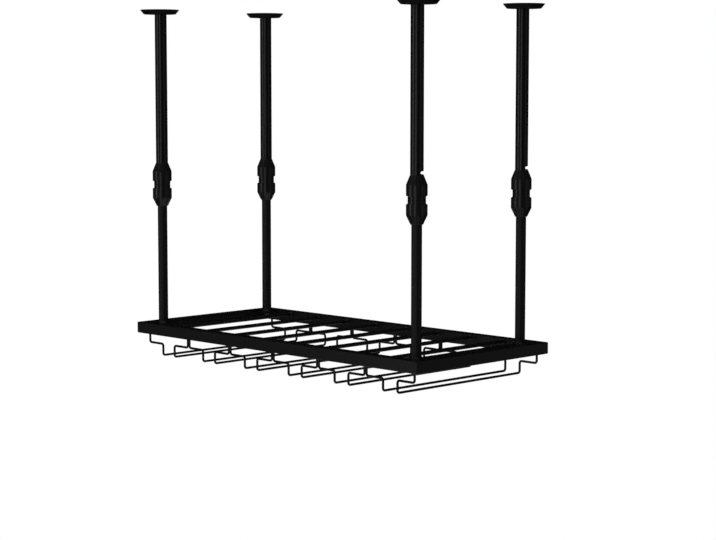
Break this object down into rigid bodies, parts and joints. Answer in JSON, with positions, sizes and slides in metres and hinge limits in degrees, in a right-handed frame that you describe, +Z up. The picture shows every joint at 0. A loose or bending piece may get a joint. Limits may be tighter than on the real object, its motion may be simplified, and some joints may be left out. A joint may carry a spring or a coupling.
{
  "type": "hanging wine glass rack",
  "caption": "Ceiling-hung shelf of black square tube on telescopic posts with twist clamps, with bent wires underneath that hold stemmed glasses by the foot.",
  "frame": {"origin": "on the ceiling plane, in the middle of the four outer ceiling holes", "axes": "+X along the rack's long side, +Y to its back, +Z up, out of the flanges' ceiling faces"},
  "size_m": [0.8264, 0.377, 0.7274],
  "materials": {
    "black_steel": "satin powder coat",
    "black_nylon": "moulded, semi-gloss",
    "black_acetal": "moulded, matt",
    "zinc_steel": "zinc plated"
  },
  "bodies": {
    "ceiling_set": {"ceiling_flange_front_left": "black_steel", "upper_tube_front_left": "black_steel", "clamp_sleeve_front_left": "black_nylon", "clamp_collet_front_left": "black_acetal", "ceiling_flange_front_right": "black_steel", "upper_tube_front_right": "black_steel", "clamp_sleeve_front_right": "black_nylon", "clamp_collet_front_right": "black_acetal", "ceiling_flange_back_left": "black_steel", "upper_tube_back_left": "black_steel", "clamp_sleeve_back_left": "black_nylon", "clamp_collet_back_left": "black_acetal", "ceiling_flange_back_right": "black_steel", "upper_tube_back_right": "black_steel", "clamp_sleeve_back_right": "black_nylon", "clamp_collet_back_right": "black_acetal"},
    "rack": {"lower_tube_front_left": "black_steel", "stop_bush_front_left": "black_acetal", "foot_insert_front_left": "black_steel", "lower_tube_front_right": "black_steel", "stop_bush_front_right": "black_acetal", "foot_insert_front_right": "black_steel", "lower_tube_back_left": "black_steel", "stop_bush_back_left": "black_acetal", "foot_insert_back_left": "black_steel", "lower_tube_back_right": "black_steel", "stop_bush_back_right": "black_acetal", "foot_insert_back_right": "black_steel", "rail_front": "black_steel", "rail_back": "black_steel", "rail_left": "black_steel", "rail_right": "black_steel", "post_plate_left": "black_steel", "post_plate_right": "black_steel", "shelf_bar_1": "black_steel", "shelf_bar_2": "black_steel", "shelf_bar_3": "black_steel", "shelf_bar_4": "black_steel", "shelf_bar_5": "black_steel", "shelf_bar_6": "black_steel", "shelf_bar_7": "black_steel", "shelf_bar_8": "black_steel", "glass_wire_1_left": "black_steel", "glass_wire_1_right": "black_steel", "glass_wire_2_left": "black_steel", "glass_wire_2_right": "black_steel", "glass_wire_3_left": "black_steel", "glass_wire_3_right": "black_steel", "glass_wire_4_left": "black_steel", "glass_wire_4_right": "black_steel", "glass_wire_5_left": "black_steel", "glass_wire_5_right": "black_steel", "glass_wire_6_left": "black_steel", "glass_wire_6_right": "black_steel", "foot_washers": "zinc_steel", "foot_bolts": "zinc_steel"},
    "nut_front_left": {"clamp_nut_front_left": "black_nylon"},
    "nut_front_right": {"clamp_nut_front_right": "black_nylon"},
    "nut_back_left": {"clamp_nut_back_left": "black_nylon"},
    "nut_back_right": {"clamp_nut_back_right": "black_nylon"}
  },
  "joints": [
    {"name": "rack_height", "type": "slide", "parent": "ceiling_set", "child": "rack", "axis": [0, 0, 1], "range_m": [0, 0.23]},
    {"name": "clamp_turn_front_left", "type": "hinge", "parent": "ceiling_set", "child": "nut_front_left", "pos_m": [-0.37, -0.148, -0.39], "axis": [0, 0, 1], "range_deg": [0, 90]},
    {"name": "clamp_turn_front_right", "type": "hinge", "parent": "ceiling_set", "child": "nut_front_right", "pos_m": [0.37, -0.148, -0.39], "axis": [0, 0, 1], "range_deg": [0, 90]},
    {"name": "clamp_turn_back_left", "type": "hinge", "parent": "ceiling_set", "child": "nut_back_left", "pos_m": [-0.37, 0.148, -0.39], "axis": [0, 0, 1], "range_deg": [0, 90]},
    {"name": "clamp_turn_back_right", "type": "hinge", "parent": "ceiling_set", "child": "nut_back_right", "pos_m": [0.37, 0.148, -0.39], "axis": [0, 0, 1], "range_deg": [0, 90]}
  ]
}
